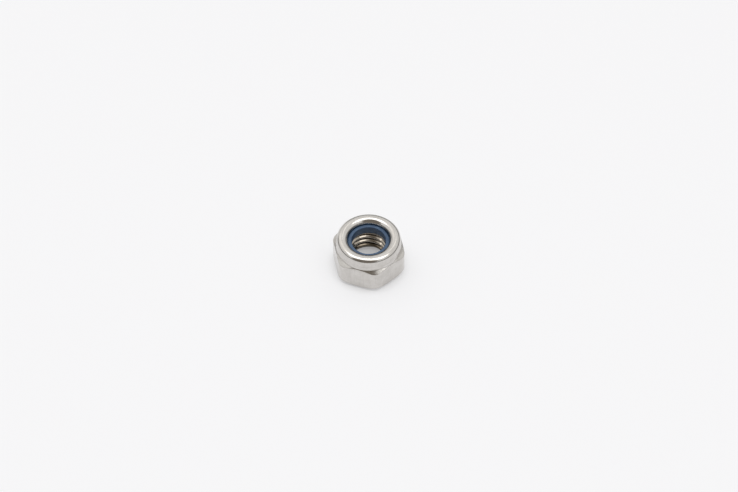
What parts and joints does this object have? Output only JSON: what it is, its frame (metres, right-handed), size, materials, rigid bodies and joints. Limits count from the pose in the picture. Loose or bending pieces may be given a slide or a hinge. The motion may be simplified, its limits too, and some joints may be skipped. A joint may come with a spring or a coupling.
{
  "type": "nylon insert lock nut",
  "caption": "Hexagon lock nut with a rolled-over collar that holds a nylon ring, which grips the bolt's thread so the nut can't shake loose.",
  "frame": {"origin": "centre of the bearing face, on the thread's axis", "axes": "+Z along the thread's axis from the bearing face to the rolled collar, +X through two opposite corners of the hexagon, +Y through two opposite flats"},
  "size_m": [0.0144, 0.013, 0.0079],
  "materials": {
    "stainless_steel": "bright tumbled stainless steel, slightly satin",
    "blue_nylon": "semi-gloss dark blue nylon"
  },
  "bodies": {
    "root": {"nut_body": "stainless_steel", "nylon_ring": "blue_nylon"}
  },
  "joints": []
}
